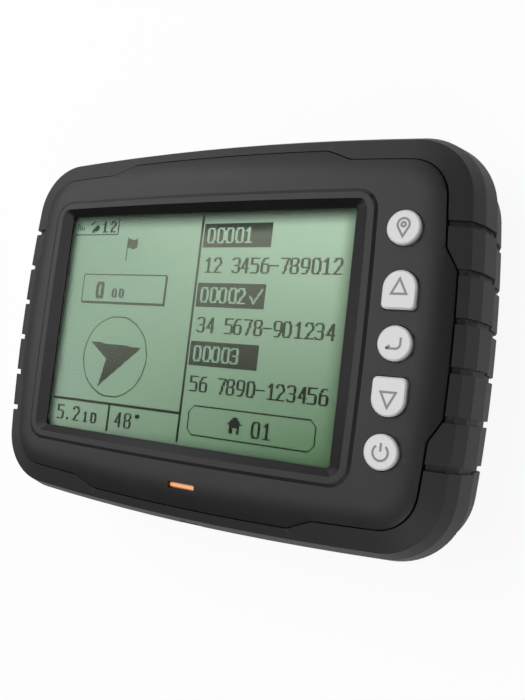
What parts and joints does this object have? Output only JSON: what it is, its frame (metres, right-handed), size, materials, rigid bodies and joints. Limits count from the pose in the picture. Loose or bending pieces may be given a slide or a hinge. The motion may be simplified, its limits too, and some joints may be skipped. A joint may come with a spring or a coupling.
{
  "type": "portable navigator",
  "caption": "Handheld satellite navigator in a rubber bumper: sunk graphic screen, a column of silver keys, a light bar, a battery door and a hinged port cover.",
  "frame": {"origin": "middle of the underside of the case, lying on its back", "axes": "+Z out of the screen, +Y to the top of the screen, +X to the keys"},
  "size_m": [0.1158, 0.0848, 0.0299],
  "materials": {
    "shell_plastic": "fine spark-eroded texture",
    "bumper_rubber": "satin moulded thermoplastic rubber",
    "seal_rubber": "matt moulded silicone",
    "pad_silicone": "matt moulded silicone",
    "key_plastic": "satin silver lacquer",
    "window": "clear hard-coated pane",
    "tape": "black adhesive tape",
    "display": "grey-green reflective liquid crystal cell",
    "diffuser": "milky light guide",
    "tray_plastic": "white moulded",
    "flex_film": "amber polyimide film",
    "part_black": "moulded epoxy",
    "board_green": "green solder resist",
    "ceramic": "fired ceramic",
    "tin_plate": "tin-plated sheet",
    "dome_steel": "stainless spring sheet",
    "screw_steel": "black zinc-plated steel",
    "insert_brass": "turned and knurled",
    "cell_wrap": "shrink film",
    "lamp_orange": "diffusing acrylic, lit"
  },
  "bodies": {
    "case": {"front_housing": "shell_plastic", "rear_housing": "shell_plastic", "front_bumper": "bumper_rubber", "rear_bumper": "bumper_rubber", "housing_gasket": "seal_rubber", "keypad_seal": "pad_silicone", "snap_domes": "dome_steel", "light_bar": "lamp_orange", "main_board": "board_green", "status_lamp": "lamp_orange", "processor": "part_black", "memory_chip": "part_black", "power_coil": "part_black", "shield_can": "tin_plate", "buzzer": "part_black", "backup_cell": "tin_plate", "charging_socket": "tin_plate", "antenna_board": "board_green", "antenna_patch": "ceramic", "port_pin": "dome_steel", "battery_pack": "cell_wrap", "battery_pad": "seal_rubber", "battery_pins": "insert_brass", "battery_door": "shell_plastic", "battery_gasket": "seal_rubber", "door_screws": "screw_steel", "door_inserts": "insert_brass", "case_screws": "screw_steel", "board_screws": "screw_steel", "mount_insert": "insert_brass", "lens": "window", "lens_tape": "tape", "lcd_cell": "display", "backlight": "diffuser", "lcd_tray": "tray_plastic", "lcd_flex": "flex_film", "flex_connector": "part_black"},
    "key_waypoint": {"key_waypoint": "key_plastic"},
    "key_up": {"key_up": "key_plastic"},
    "key_enter": {"key_enter": "key_plastic"},
    "key_down": {"key_down": "key_plastic"},
    "key_power": {"key_power": "key_plastic"},
    "port_door": {"port_door": "bumper_rubber", "port_seal": "seal_rubber"}
  },
  "joints": [
    {"name": "waypoint_press", "type": "slide", "parent": "case", "child": "key_waypoint", "axis": [0, 0, -1], "range_m": [0, 0.0006], "stiffness_N_per_m": 900, "springref_m": -0.0006},
    {"name": "up_press", "type": "slide", "parent": "case", "child": "key_up", "axis": [0, 0, -1], "range_m": [0, 0.0006], "stiffness_N_per_m": 900, "springref_m": -0.0006},
    {"name": "enter_press", "type": "slide", "parent": "case", "child": "key_enter", "axis": [0, 0, -1], "range_m": [0, 0.0006], "stiffness_N_per_m": 900, "springref_m": -0.0006},
    {"name": "down_press", "type": "slide", "parent": "case", "child": "key_down", "axis": [0, 0, -1], "range_m": [0, 0.0006], "stiffness_N_per_m": 900, "springref_m": -0.0006},
    {"name": "power_press", "type": "slide", "parent": "case", "child": "key_power", "axis": [0, 0, -1], "range_m": [0, 0.0006], "stiffness_N_per_m": 900, "springref_m": -0.0006},
    {"name": "port_door_hinge", "type": "hinge", "parent": "case", "child": "port_door", "pos_m": [0, -0.04105, 0.0149], "axis": [1, 0, 0], "range_deg": [0, 90]}
  ]
}
